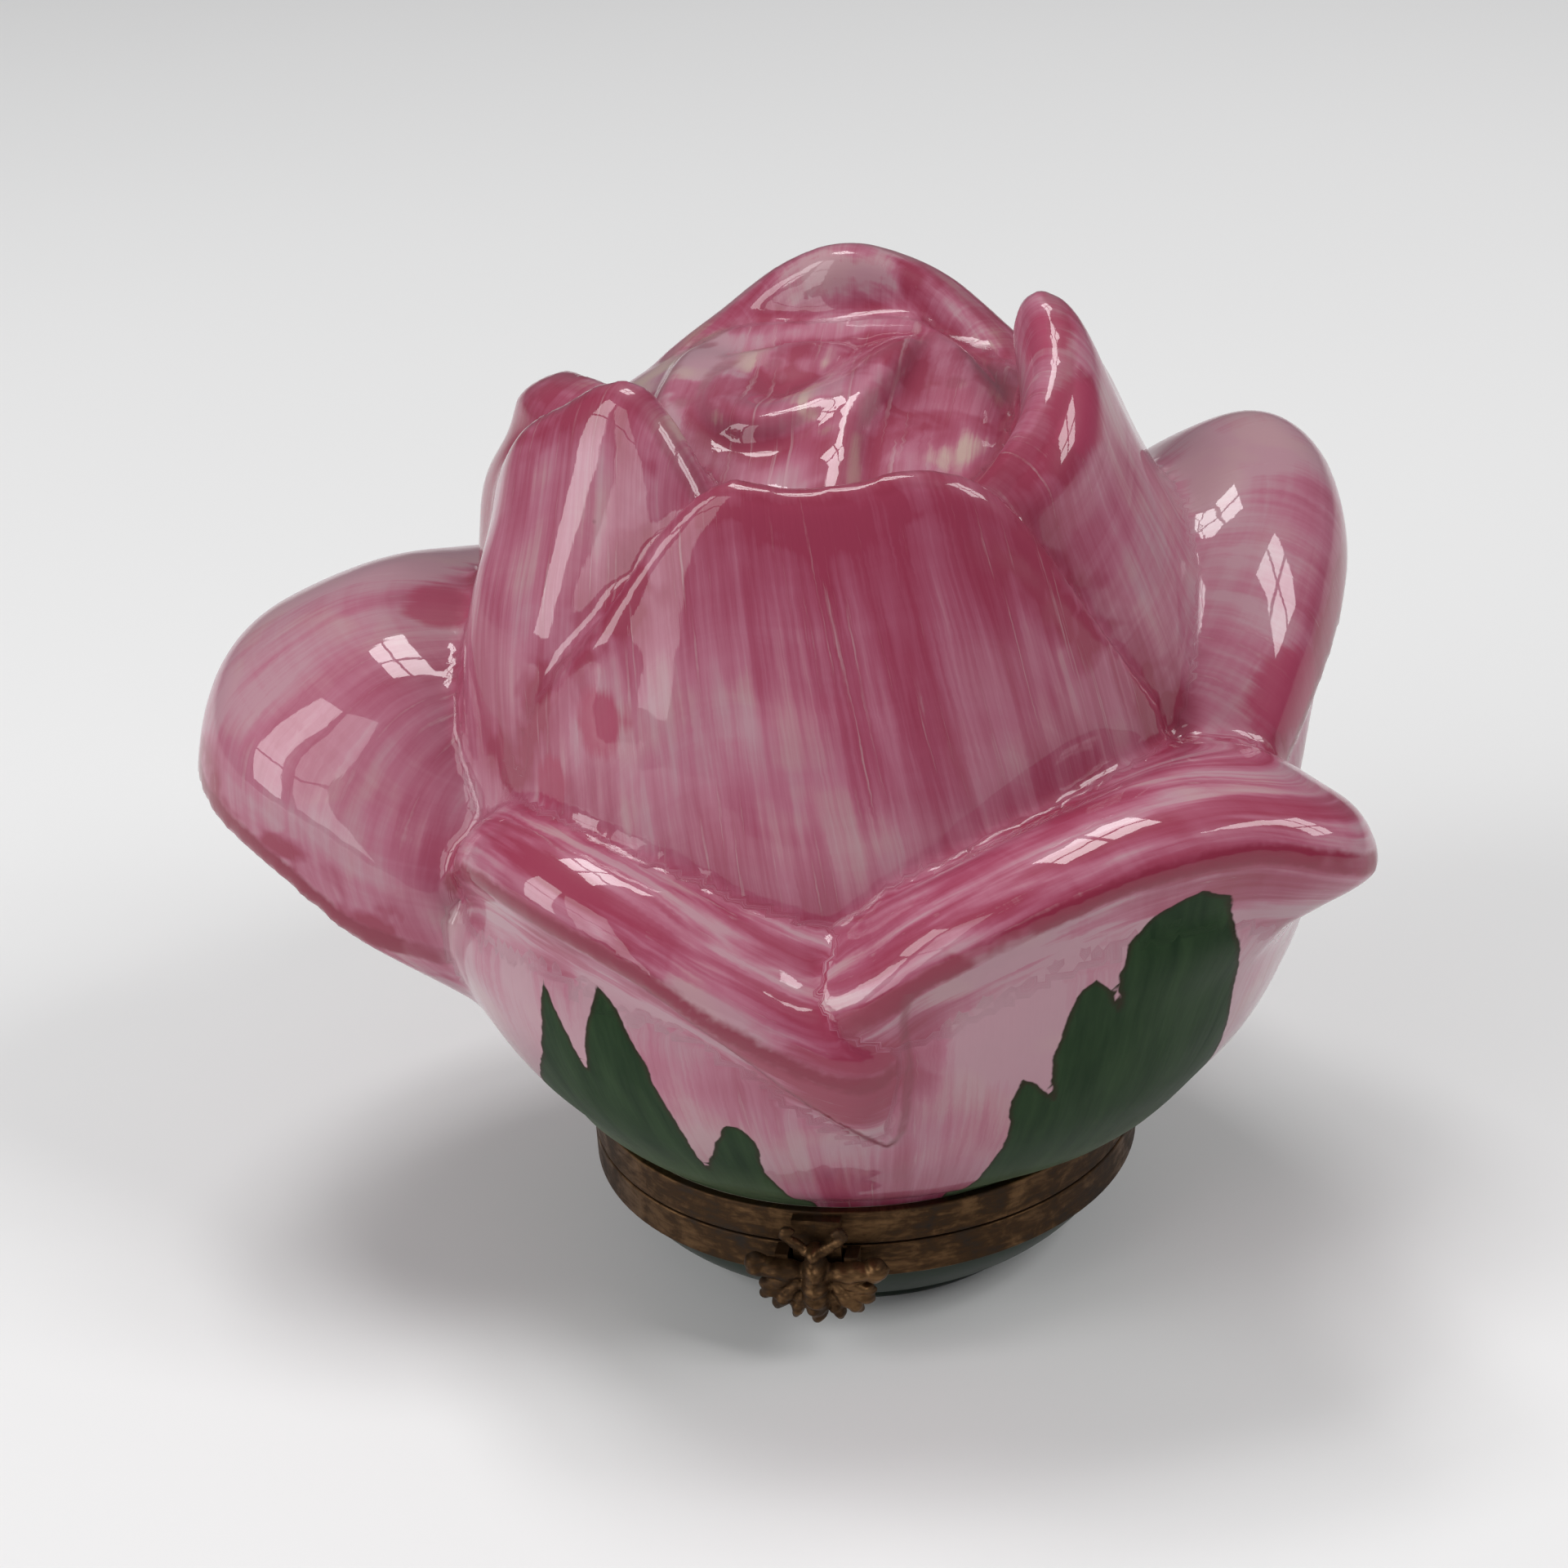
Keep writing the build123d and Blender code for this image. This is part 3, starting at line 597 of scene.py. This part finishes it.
def paint_guides(mesh):
    """Carries brush coordinates, lip distance, hollows, dabs, sepals and the inner face on the vertices."""
    count = len(mesh.vertices)
    co, normal = vertex_field(mesh, "co") / MM, vertex_field(mesh, "normal")
    edges = np.empty(len(mesh.edges) * 2, int)
    mesh.edges.foreach_get("vertices", edges)
    edges = edges.reshape(-1, 2)
    degree = np.bincount(edges.ravel(), minlength=count)

    points, values = brush_samples()
    brushes = tree_of(points)
    lips = tree_of(lip_samples())
    nearest = np.array([brushes.find(p)[1] for p in co])
    brush = values[nearest]
    lip = np.array([lips.find(p)[2] for p in co])

    # How hollow each vertex is: the paint darkens hollows with it, partly as pigment pooled in creases and
    # partly as painted shade.
    dent = ((neighbour_mean(co, edges, degree) - co) * normal).sum(axis=1)[:, None]
    for _ in range(5):
        dent = 0.5 * dent + 0.5 * neighbour_mean(dent, edges, degree)
    wide = dent
    for _ in range(14):
        wide = 0.4 * wide + 0.6 * neighbour_mean(wide, edges, degree)
    coords = brush[:, 1:3]
    for _ in range(9):
        mixed = neighbour_mean(coords, edges, degree)
        calm = np.abs(mixed - coords).max(axis=1) < 0.5
        coords = np.where(calm[:, None], mixed, coords)

    radius = np.hypot(co[:, 0], co[:, 1])
    azimuth = np.degrees(np.arctan2(co[:, 0], -co[:, 1]))
    bowl = np.array(HOLLOW)
    wall = np.interp(co[:, 2], bowl[1:, 1], bowl[1:, 0])
    inner = (radius < wall + 0.35) & (co[:, 2] < 44.6)
    leaf = np.full(count, -FAR)
    for outline in SEPALS:
        for turn in (-360, 0, 360):
            flat = np.stack([(azimuth + turn) * ARC, co[:, 2]], -1)
            leaf = np.maximum(leaf, inside_distance(outline, flat))
    leaf[inner] = -FAR
    flap = inside_distance(FLAP, np.stack([azimuth * ARC, co[:, 2]], -1))
    dab = np.zeros(count)
    for az, r, z, size in DABS:
        gap = np.linalg.norm(co - around(az, np.array([[r, z]]))[0], axis=1)
        dab = np.maximum(dab, 1 - gap / (2 * size))
    share, habit = brush[:, 3:4], brush[:, 4:7]
    for _ in range(3):
        share = 0.5 * share + 0.5 * neighbour_mean(share, edges, degree)
        habit = 0.5 * habit + 0.5 * neighbour_mean(habit, edges, degree)
    store(mesh, "brush", "FLOAT_VECTOR", np.column_stack([coords, brush[:, 0]]))
    store(mesh, "habit", "FLOAT_VECTOR", habit)
    store(mesh, "lip", "FLOAT", lip)
    store(mesh, "dent", "FLOAT", dent[:, 0])
    store(mesh, "hollow_paint_and_shade", "FLOAT", wide[:, 0])
    store(mesh, "dab", "FLOAT", dab)
    store(mesh, "leaf", "FLOAT", leaf)
    store(mesh, "body", "FLOAT", share[:, 0])
    near_flap = (radius > FLAP_REACH) & (co[:, 2] < 27.5)
    store(mesh, "flap", "FLOAT", np.where(near_flap, np.abs(flap), FAR))
    store(mesh, "bud", "FLOAT", np.clip((13.5 - radius) / 3, 0, 1) * (co[:, 2] > 45.5))
    store(mesh, "inner", "FLOAT", inner)


rose = sculpt_rose()
paint_guides(rose.data)


# ---- the cast figure on the clasp ----------------------------------------------------------------
# Lobes of the figure: x, z, half width, half height, thickness toward the front, lean in degrees.
FIGURE = [(0, 7.4, 0.5, 0.5, 1.15, 0), (0, 6.3, 0.72, 0.95, 1.4, 0),
          (0, 5.0, 0.8, 1.7, 1.5, 0), (0.05, 3.7, 0.5, 0.65, 1.0, 0)]
PAIRED = [(1.9, 6.2, 1.75, 0.55, 0.95, -5), (3.2, 6.35, 0.7, 0.72, 0.85, 10),
          (2.0, 5.5, 1.3, 0.42, 0.8, 22), (1.55, 4.75, 0.5, 1.35, 0.95, -40),
          (0.95, 4.25, 0.42, 1.15, 0.85, -18), (2.25, 4.9, 0.42, 1.0, 0.75, -62)]
FEELER = [(0.35, 7.3), (0.75, 7.75), (1.25, 8.1), (1.6, 8.45), (1.35, 8.75), (1.05, 8.5)]
FIGURE_BACK = -16.5


def lobe(x, z, wide, tall, thick, lean):
    """One swelling of the figure."""
    mesh = bpy.data.meshes.new("lobe")
    ball = bmesh.new()
    bmesh.ops.create_uvsphere(ball, u_segments=32, v_segments=20, radius=1)
    shift = Matrix.Translation((x * MM, FIGURE_BACK * MM, z * MM))
    turn = Matrix.Rotation(math.radians(lean), 4, "Y")
    ball.transform(shift @ turn @ Matrix.Diagonal((wide * MM, thick * MM, tall * MM, 1)))
    ball.to_mesh(mesh)
    ball.free()
    obj = bpy.data.objects.new("lobe", mesh)
    bpy.context.collection.objects.link(obj)
    return obj


def feeler(side):
    """One curled feeler above the head."""
    path = curve([(side * x, z) for x, z in FEELER], 6)
    along = np.gradient(path, axis=0)
    along /= np.linalg.norm(along, axis=1)[:, None]
    rings = []
    turns = np.radians(np.arange(0, 360, 30))
    for (x, z), (tx, tz), girth in zip(path, along, np.linspace(0.30, 0.24, len(path))):
        across, depth = girth * np.cos(turns), FIGURE_BACK - 0.35 + girth * np.sin(turns)
        rings.append(np.stack([x - tz * across, depth, z + tx * across], -1))
    return lofted("feeler", np.array(rings))


def cast_figure():
    """The whole figure, fused, softly worn and flat behind."""
    parts = [lobe(*row) for row in FIGURE]
    for side in (-1, 1):
        parts += [lobe(side * x, z, *sizes, side * lean) for x, z, *sizes, lean in PAIRED]
        parts.append(feeler(side))
    figure = joined("clasp_figure", parts)
    remesh = figure.modifiers.new("fuse", "REMESH")
    remesh.mode = "VOXEL"
    remesh.voxel_size = 0.09 * MM
    remesh.use_smooth_shade = True
    soften = figure.modifiers.new("soften", "SMOOTH")
    soften.iterations = 3
    apply_modifiers(figure)
    keep_largest(figure.data)
    co, normal = vertex_field(figure.data, "co") / MM, vertex_field(figure.data, "normal")
    w = co * 5.5
    co += normal * (0.05 * np.sin(w[:, 0] + np.sin(w[:, 2])) * np.sin(1.3 * w[:, 2] + 0.7))[:, None]
    ribs = (np.abs(co[:, 0]) < 0.85) & (co[:, 2] < 5.8)
    co[:, 1] += 0.06 * np.sin(co[:, 2] * 9) * ribs
    co[:, 1] = np.minimum(co[:, 1], FIGURE_BACK)
    figure.data.vertices.foreach_set("co", (co * MM).ravel())
    figure.data.update()
    return figure


figure = cast_figure()


# ---- materials -----------------------------------------------------------------------------------
class Paint:
    """A procedural material under construction; numbers go straight on sockets, other sockets are linked."""

    def __init__(self, name):
        self.material = bpy.data.materials.new(name)
        self.material.use_nodes = True
        self.tree = self.material.node_tree
        self.surface = self.tree.nodes["Principled BSDF"]

    def put(self, socket, value):
        if isinstance(value, bpy.types.NodeSocket):
            self.tree.links.new(value, socket)
        elif value is not None:
            socket.default_value = value

    def node(self, kind, *values, **settings):
        node = self.tree.nodes.new("ShaderNode" + kind)
        for key, value in settings.items():
            setattr(node, key, value)
        for socket, value in zip(node.inputs, values):
            self.put(socket, value)
        return node

    def attribute(self, name, output="Fac"):
        return self.node("Attribute", attribute_name=name).outputs[output]

    def place(self):
        return self.node("TexCoord").outputs["Object"]

    def math(self, operation, *values):
        return self.node("Math", *values, operation=operation).outputs[0]

    def scaled(self, vector, scale):
        return self.node("VectorMath", vector, scale, operation="MULTIPLY").outputs[0]

    def noise(self, vector, scale, detail=3.0, roughness=0.55, distortion=0.0):
        node = self.node("TexNoise")
        names = ("Vector", "Scale", "Detail", "Roughness", "Distortion")
        for name, value in zip(names, (vector, scale, detail, roughness, distortion)):
            self.put(node.inputs[name], value)
        return node.outputs["Fac"]

    def band(self, value, low, high, to_low=0.0, to_high=1.0):
        node = self.node("MapRange", value, low, high, to_low, to_high, interpolation_type="SMOOTHSTEP")
        return node.outputs[0]

    def mix(self, share, first, second):
        node = self.node("Mix", data_type="RGBA")
        for name, value in [("Factor_Float", share), ("A_Color", first), ("B_Color", second)]:
            socket = next(x for x in node.inputs if x.identifier == name)
            self.put(socket, (*value, 1.0) if isinstance(value, tuple) else value)
        return next(x for x in node.outputs if x.identifier == "Result_Color")

    def ramp(self, value, *stops):
        node = self.node("ValToRGB", value)
        elements = node.color_ramp.elements
        for element, (place, color) in zip(elements, stops[:2]):
            element.position, element.color = place, (*color, 1.0)
        for place, color in stops[2:]:
            elements.new(place).color = (*color, 1.0)
        return node.outputs["Color"]

    def relief(self, height, distance):
        node = self.node("Bump")
        node.inputs["Strength"].default_value = 1.0
        node.inputs["Distance"].default_value = distance * MM
        self.put(node.inputs["Height"], height)
        return node.outputs["Normal"]

    def finish(self, **values):
        for key, value in values.items():
            value = (*value, 1.0) if isinstance(value, tuple) else value
            self.put(self.surface.inputs[key.replace("_", " ")], value)
        return self.material


PALE = (0.42, 0.225, 0.27)
BLUSH = (0.39, 0.125, 0.19)
ROSE = (0.32, 0.062, 0.115)
CRIMSON = (0.27, 0.028, 0.066)
CREAM = (0.46, 0.32, 0.28)
BARE_STREAK = (0.48, 0.31, 0.34)
DAB = (0.33, 0.036, 0.088)
LIP_LINE = (0.22, 0.014, 0.042)
SEAM = (0.22, 0.03, 0.055)
SPECK = (0.07, 0.022, 0.02)
LEAF_DARK, LEAF_LIGHT = (0.010, 0.027, 0.010), (0.026, 0.053, 0.021)
LEAF_THIN, LEAF_EDGE = (0.095, 0.125, 0.070), (0.030, 0.016, 0.010)
OXIDE, TARNISH, BRASS = (0.012, 0.008, 0.005), (0.060, 0.032, 0.015), (0.21, 0.116, 0.052)
CUP_DARK, CUP_LIGHT = (0.004, 0.011, 0.005), (0.012, 0.026, 0.012)


def white_glaze(p, spot):
    """The white of the bare inner faces."""
    return p.ramp(p.noise(spot, 60, 3), (0.3, (0.70, 0.68, 0.64)), (0.7, (0.78, 0.77, 0.74)))


def rose_glaze():
    """Overglaze pink laid on in streaks, dark at lips; folds painted deeper, partly as pooled pigment and
    partly as painted shade; the body painted darker toward the band as painted shade; green sepals and a
    white inner face.
    """
    p = Paint("rose_glaze")
    brush = p.attribute("brush", "Vector")
    lip, body, bud = p.attribute("lip"), p.attribute("body"), p.attribute("bud")
    spot = p.place()
    blotch = p.noise(spot, 160, 3, 0.6, 0.4)
    patch = p.noise(spot, 75, 2, 0.5, 0.6)
    across = p.noise(p.scaled(brush, (0.42, 0.05, 3.7)), 1.0, 3, 0.5, 0.6)
    fine_across = p.noise(p.scaled(brush, (2.4, 0.09, 3.7)), 1.0, 3, 0.6, 0.1)
    lengthwise = p.band(p.noise(p.scaled(brush, (0.09, 0.55, 5.1)), 1.0, 3, 0.6, 0.5), 0.28, 0.66)
    fine_lengthwise = p.noise(p.scaled(brush, (0.14, 2.6, 5.1)), 1.0, 3, 0.6, 0.1)
    along, heavy, edge = p.node("SeparateXYZ", p.attribute("habit", "Vector")).outputs
    broad = p.node("Mix", along, None, across, lengthwise, data_type="FLOAT").outputs[0]
    fine = p.node("Mix", along, None, fine_across, fine_lengthwise, data_type="FLOAT").outputs[0]

    load = p.math("MULTIPLY_ADD", broad, 1.3, -0.25)
    load = p.math("MULTIPLY_ADD", p.math("SUBTRACT", fine, 0.5), 0.9, load)
    load = p.math("MULTIPLY_ADD", p.math("SUBTRACT", patch, 0.5), 2.1, load)
    load = p.math("ADD", load, heavy)
    near_lip = p.math("MULTIPLY", p.band(lip, 0.8, 3.4, 1.3, 0.0), p.band(lip, 0.2, 0.9, 0.25, 1.0))
    near_lip = p.math("MULTIPLY", near_lip, edge)
    load = p.math("MULTIPLY_ADD", near_lip, p.band(blotch, 0.46, 0.58, 0.25, 1.0), load)
    # Deeper pink in hollows and folds, strongest in the bud: partly pigment pooled in the creases, partly
    # painted shade.
    folds = p.math("MULTIPLY_ADD", bud, 0.24, 0.06)
    load = p.math("MULTIPLY_ADD", p.band(p.attribute("dent"), 0.004, 0.03), folds, load)
    load = p.math("MULTIPLY_ADD", p.band(p.attribute("hollow_paint_and_shade"), 0.0, 0.02), folds, load)
    height = p.node("SeparateXYZ", spot).outputs["Z"]
    # Painted shade: the body is painted paler above 18 mm and darker down toward the brass band, for the
    # shade under the overhanging petals.
    load = p.math("MULTIPLY_ADD", body, p.band(height, 0.010, 0.018, -0.02, -0.32), load)
    load = p.math("MULTIPLY_ADD", bud, -0.20, load)
    color = p.ramp(load, (0.0, PALE), (1.0, CRIMSON), (0.33, BLUSH), (0.66, ROSE))

    streak = p.band(fine, 0.60, 0.74, 0.0, 0.5)
    color = p.mix(streak, color, BARE_STREAK)
    warm_share = p.math("MULTIPLY_ADD", bud, 0.75, 0.2)
    warm = p.math("MULTIPLY", p.band(p.noise(spot, 210, 2, 0.5, 0.5), 0.48, 0.66), warm_share)
    warm = p.math("MULTIPLY", warm, p.band(load, 0.55, 0.15))
    warm = p.math("MULTIPLY", warm, p.band(height, 0.0505, 0.053, 1.0, 0.2))
    color = p.mix(warm, color, CREAM)
    dab = p.math("MULTIPLY_ADD", p.math("SUBTRACT", blotch, 0.5), 0.9, p.attribute("dab"))
    dab = p.math("MULTIPLY_ADD", p.math("SUBTRACT", fine, 0.5), 0.5, dab)
    color = p.mix(p.band(dab, 0.40, 0.66, 0.0, 0.85), color, DAB)
    ragged = p.math("MULTIPLY_ADD", p.noise(spot, 520, 3, 0.7), -0.7, lip)
    number, last_rolled = p.node("SeparateXYZ", brush).outputs["Z"], len(ROLLED) - 1
    by_kind = (number, last_rolled + 0.4, last_rolled + 0.6, 1.0, 0.5)
    line = p.math("MULTIPLY", p.band(ragged, 0.02, 0.42, 1.0, 0.0), p.band(*by_kind))
    line = p.math("MULTIPLY", line, p.band(blotch, 0.34, 0.46, 0.5, 1.0))
    color = p.mix(line, color, LIP_LINE)
    seam = p.band(p.math("MULTIPLY_ADD", blotch, -0.2, p.attribute("flap")), -0.02, 0.26, 0.7, 0.0)
    color = p.mix(seam, color, SEAM)
    speckle = p.node("TexVoronoi", spot, feature="F1")
    speckle.inputs["Scale"].default_value = 420
    chance = p.node("SeparateColor", speckle.outputs["Color"]).outputs[0]
    dots = p.band(speckle.outputs["Distance"], 0.05, 0.11, 0.8, 0.0)
    dots = p.math("MULTIPLY", dots, p.math("GREATER_THAN", chance, 0.975))
    color = p.mix(dots, color, SPECK)

    ragged_leaf = p.math("SUBTRACT", p.noise(spot, 900, 2), 0.5)
    leaf = p.math("MULTIPLY_ADD", ragged_leaf, 0.35, p.attribute("leaf"))
    leaf_tone = p.noise(p.scaled(brush, (1.1, 0.12, 1.0)), 1.0, 3, 0.6)
    green = p.ramp(leaf_tone, (0.3, LEAF_DARK), (0.7, LEAF_LIGHT))
    green = p.mix(p.band(height, 0.0145, 0.0095, 0.0, 0.6), green, LEAF_THIN)
    green = p.mix(p.band(leaf, 0.0, 0.34, 0.75, 0.0), green, LEAF_EDGE)
    on_leaf = p.band(leaf, -0.06, 0.05)
    color = p.mix(on_leaf, color, green)
    color = p.mix(p.attribute("inner"), color, white_glaze(p, spot))

    ripple = p.math("MULTIPLY_ADD", fine, 0.12, p.noise(spot, 230, 1))
    return p.finish(Base_Color=color, Roughness=0.42, Normal=p.relief(fine, 0.02),
                    Specular_IOR_Level=p.band(on_leaf, 0, 1, 0.2, 0.05),
                    Coat_Weight=p.band(on_leaf, 0, 1, 0.8, 0.06), Coat_Roughness=0.03,
                    Coat_Normal=p.relief(ripple, 0.022))


def leaf_glaze():
    """Dark green glaze outside, white glaze inside the cup."""
    p = Paint("leaf_glaze")
    spot = p.place()
    tone = p.noise(spot, 180, 4, 0.6, 0.4)
    green = p.ramp(tone, (0.3, CUP_DARK), (0.72, CUP_LIGHT))
    x, y, z = p.node("SeparateXYZ", spot).outputs
    reach = p.math("SQRT", p.math("ADD", p.math("MULTIPLY", x, x), p.math("MULTIPLY", y, y)))
    inside = p.math("MULTIPLY", p.band(reach, 0.01285, 0.01275), p.band(z, 0.0021, 0.00215))
    color = p.mix(inside, green, white_glaze(p, spot))
    return p.finish(Base_Color=color, Roughness=0.45, Specular_IOR_Level=0.2, Coat_Weight=0.12,
                    Coat_Roughness=0.1, Normal=p.relief(tone, 0.03))


def aged_brass():
    """Old gilt brass: brown-gold with dark oxide in patches and fine wear round the bands."""
    p = Paint("aged_brass")
    spot = p.place()
    x, y, z = p.node("SeparateXYZ", spot).outputs
    turn = p.math("ARCTAN2", x, y)
    lane = p.node("CombineXYZ", p.math("MULTIPLY", turn, 0.004), z, 0.0).outputs[0]
    wear = p.noise(lane, 2600, 4, 0.65, 0.3)
    oxide = p.noise(spot, 420, 4, 0.65, 0.6)
    grime = p.noise(spot, 150, 3, 0.6, 0.5)
    tone = p.math("MULTIPLY_ADD", oxide, 0.55, p.math("MULTIPLY", grime, 0.4))
    tone = p.math("MULTIPLY_ADD", wear, 0.45, tone)
    color = p.ramp(tone, (0.52, OXIDE), (0.94, BRASS), (0.70, TARNISH))
    metal = p.band(tone, 0.5, 0.72, 0.45, 0.95)
    rough = p.band(tone, 0.5, 0.9, 0.72, 0.42)
    return p.finish(Base_Color=color, Metallic=metal, Roughness=rough, Normal=p.relief(tone, 0.06))


def cement_paste():
    """Grey-cream setting cement with a gritty face."""
    p = Paint("cement")
    grit = p.noise(p.place(), 900, 4, 0.7)
    color = p.ramp(grit, (0.3, (0.26, 0.23, 0.18)), (0.7, (0.44, 0.40, 0.33)))
    return p.finish(Base_Color=color, Roughness=0.85, Normal=p.relief(grit, 0.05))


def pale_floor():
    """A plain pale sweep with the faintest mottle."""
    p = Paint("pale_floor")
    tone = p.noise(p.place(), 3.0, 3, 0.5)
    color = p.ramp(tone, (0.3, (0.79, 0.79, 0.79)), (0.7, (0.82, 0.82, 0.82)))
    return p.finish(Base_Color=color, Roughness=0.9, Specular_IOR_Level=0.1)


glaze = rose_glaze()
finishes = {"leaf_glaze": leaf_glaze(), "aged_brass": aged_brass(), "cement": cement_paste()}
rose.data.materials.clear()
rose.data.materials.append(glaze)
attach(rose, "lid")
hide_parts("lid_porcelain")

figure.data.materials.clear()
figure.data.materials.append(finishes["aged_brass"])
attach(figure, "base")
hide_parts("clasp_ornament")

for name, node in NODES.items():
    if name in ("lid_porcelain", "clasp_ornament"):
        continue
    kind = "leaf_glaze" if name == "base_porcelain" else "cement" if "cement" in name else "aged_brass"
    node.data.materials.clear()
    node.data.materials.append(finishes[kind])


# ---- floor, light and camera ---------------------------------------------------------------------
FLOOR = [(-3000, -3000, 0), (3000, -3000, 0), (3000, 3000, 0), (-3000, 3000, 0)]
floor = mesh_object("floor", FLOOR, [(0, 1, 2, 3)])
floor.data.materials.append(pale_floor())

world = bpy.data.worlds.new("studio")
bpy.context.scene.world = world
world.use_nodes = True
sky = world.node_tree
upward = sky.nodes.new("ShaderNodeSeparateXYZ")
shade = sky.nodes.new("ShaderNodeValToRGB")
sky.links.new(sky.nodes.new("ShaderNodeTexCoord").outputs["Generated"], upward.inputs[0])
sky.links.new(upward.outputs["Z"], shade.inputs["Fac"])
sky.links.new(shade.outputs["Color"], sky.nodes["Background"].inputs["Color"])
shade.color_ramp.elements[0].position, shade.color_ramp.elements[0].color = 0.0, (0.12, 0.12, 0.13, 1)
shade.color_ramp.elements[1].position, shade.color_ramp.elements[1].color = 0.8, (0.26, 0.26, 0.26, 1)
sky.nodes["Background"].inputs["Strength"].default_value = 1.0


AIM = Vector((0, 0, 0.03))
PANE_GAP = 0.02


def softbox(name, place, width, height, radiance, columns, rows):
    """A soft light aimed at the jar, split into window panes."""
    turn = (AIM - Vector(place)).to_track_quat("-Z", "Y")
    pane_wide, pane_tall = width / columns - PANE_GAP, height / rows - PANE_GAP
    for i in range(columns):
        for j in range(rows):
            light = bpy.data.lights.new(name, "AREA")
            light.shape = "RECTANGLE"
            light.size, light.size_y = pane_wide, pane_tall
            light.energy = radiance * math.pi * pane_wide * pane_tall
            obj = bpy.data.objects.new(name, light)
            bpy.context.collection.objects.link(obj)
            offset = Vector((((i + 0.5) / columns - 0.5) * width, ((j + 0.5) / rows - 0.5) * height, 0))
            obj.location = Vector(place) + turn @ offset
            obj.rotation_euler = turn.to_euler()


softbox("overhead", (-0.08, 0.10, 0.75), 0.30, 0.30, 11.0, 2, 2)
softbox("window_left", (-0.64, -0.35, 0.36), 0.24, 0.66, 5.5, 1, 2)
softbox("window_front", (-0.42, -0.60, 0.36), 0.28, 0.66, 2.6, 1, 2)
softbox("window_right", (0.56, -0.18, 0.56), 0.30, 0.36, 9.0, 2, 2)

camera_data = bpy.data.cameras.new("camera")
camera_data.sensor_width = 36
camera_data.lens = 71.25
camera_data.clip_start = 0.01
camera = bpy.data.objects.new("camera", camera_data)
bpy.context.collection.objects.link(camera)
place = Vector((0.028567, -0.150542, 0.100341))
look = Vector((-0.1875, 0.8821, -0.4321))
camera.location = place
roll = Matrix.Rotation(math.radians(4.0), 4, look)
camera.matrix_world = Matrix.Translation(place) @ roll @ look.to_track_quat("-Z", "Y").to_matrix().to_4x4()
bpy.context.scene.camera = camera
bpy.context.scene.view_settings.view_transform = "Standard"
